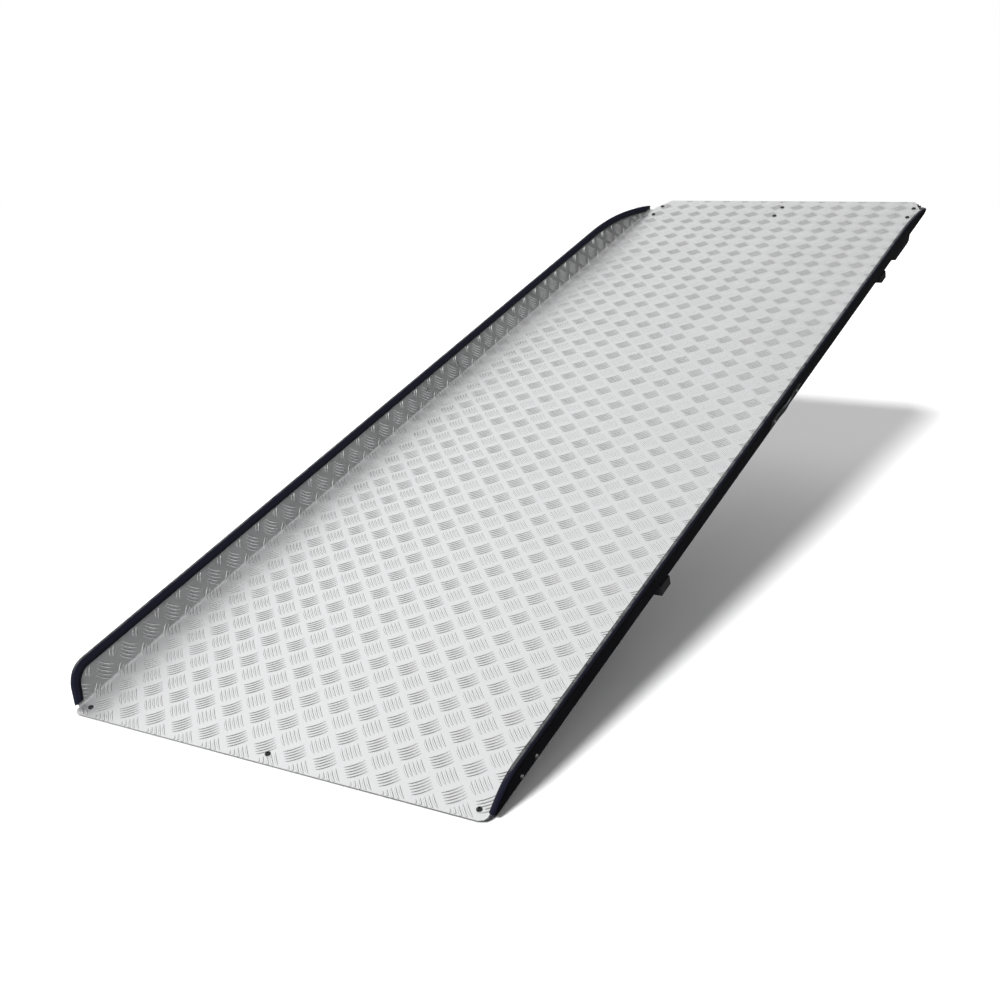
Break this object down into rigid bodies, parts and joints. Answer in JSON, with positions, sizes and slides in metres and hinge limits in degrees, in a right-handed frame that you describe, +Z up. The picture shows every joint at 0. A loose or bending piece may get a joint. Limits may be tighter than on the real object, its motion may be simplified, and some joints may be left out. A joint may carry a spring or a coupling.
{
  "type": "folding loading ramp",
  "caption": "Hinged loading ramp leaf of tread plate with splayed rubber-edged kerbs, on a sill plate for a vehicle floor; folds up to vertical.",
  "frame": {"origin": "centre of the sill plate's underside, which lies on the vehicle floor", "axes": "+Z up, +Y into the vehicle, +X to the right looking into the vehicle; the leaf runs down towards -Y"},
  "size_m": [0.7706, 2.1696, 0.7311],
  "materials": {
    "tread_plate": "bright rolled five-bar tread plate",
    "plain_aluminium": "mill finish",
    "black_powder_coat": "satin black powder coat",
    "black_rubber": "matt black extrusion",
    "black_plastic": "moulded black plastic",
    "black_webbing": "woven webbing",
    "zinc_steel": "bright zinc plated"
  },
  "bodies": {
    "sill": {"hinge_base_centre": "black_powder_coat", "hinge_base_left": "black_powder_coat", "hinge_base_right": "black_powder_coat", "hinge_pin_centre": "zinc_steel", "hinge_pin_left": "zinc_steel", "hinge_pin_right": "zinc_steel", "sill_bolt_centre_1": "zinc_steel", "sill_bolt_centre_2": "zinc_steel", "sill_bolt_left_1": "zinc_steel", "sill_bolt_left_2": "zinc_steel", "sill_bolt_right_1": "zinc_steel", "sill_bolt_right_2": "zinc_steel", "sill_plate": "plain_aluminium"},
    "leaf": {"cross_beam_lower": "black_powder_coat", "cross_beam_upper": "black_powder_coat", "deck_tray": "tread_plate", "edge_trim_left": "black_rubber", "edge_trim_right": "black_rubber", "end_cap_lower_left": "black_plastic", "end_cap_lower_right": "black_plastic", "end_cap_upper_left": "black_plastic", "end_cap_upper_right": "black_plastic", "hinge_strap_centre": "black_powder_coat", "hinge_strap_left": "black_powder_coat", "hinge_strap_right": "black_powder_coat", "latch_block_left": "black_powder_coat", "latch_block_right": "black_powder_coat", "pull_strap_left": "black_webbing", "pull_strap_right": "black_webbing", "rail_bolt_left_1": "zinc_steel", "rail_bolt_left_2": "zinc_steel", "rail_bolt_right_1": "zinc_steel", "rail_bolt_right_2": "zinc_steel", "side_rail_left": "black_powder_coat", "side_rail_right": "black_powder_coat", "strap_bolt_centre_1": "zinc_steel", "strap_bolt_centre_2": "zinc_steel", "strap_bolt_left_1": "zinc_steel", "strap_bolt_left_2": "zinc_steel", "strap_bolt_right_1": "zinc_steel", "strap_bolt_right_2": "zinc_steel", "strap_rivet_left_1": "zinc_steel", "strap_rivet_left_2": "zinc_steel", "strap_rivet_right_1": "zinc_steel", "strap_rivet_right_2": "zinc_steel", "stringer_mid": "black_powder_coat", "stringer_toe": "black_powder_coat", "stringer_top": "black_powder_coat", "toe_bar": "plain_aluminium", "toe_pad": "black_rubber", "toe_screw_centre": "zinc_steel", "toe_screw_left": "zinc_steel", "toe_screw_right": "zinc_steel"},
    "left_bolt": {"latch_bolt_left": "zinc_steel"},
    "right_bolt": {"latch_bolt_right": "zinc_steel"}
  },
  "joints": [
    {"name": "leaf_fold", "type": "hinge", "parent": "sill", "child": "leaf", "pos_m": [0, -0.051, 0.009], "axis": [-1, 0, 0], "range_deg": [0, 109.2]},
    {"name": "left_bolt_slide", "type": "slide", "parent": "leaf", "child": "left_bolt", "axis": [-1, 0, 0], "range_m": [0, 0.014]},
    {"name": "right_bolt_slide", "type": "slide", "parent": "leaf", "child": "right_bolt", "axis": [1, 0, 0], "range_m": [0, 0.014]}
  ]
}
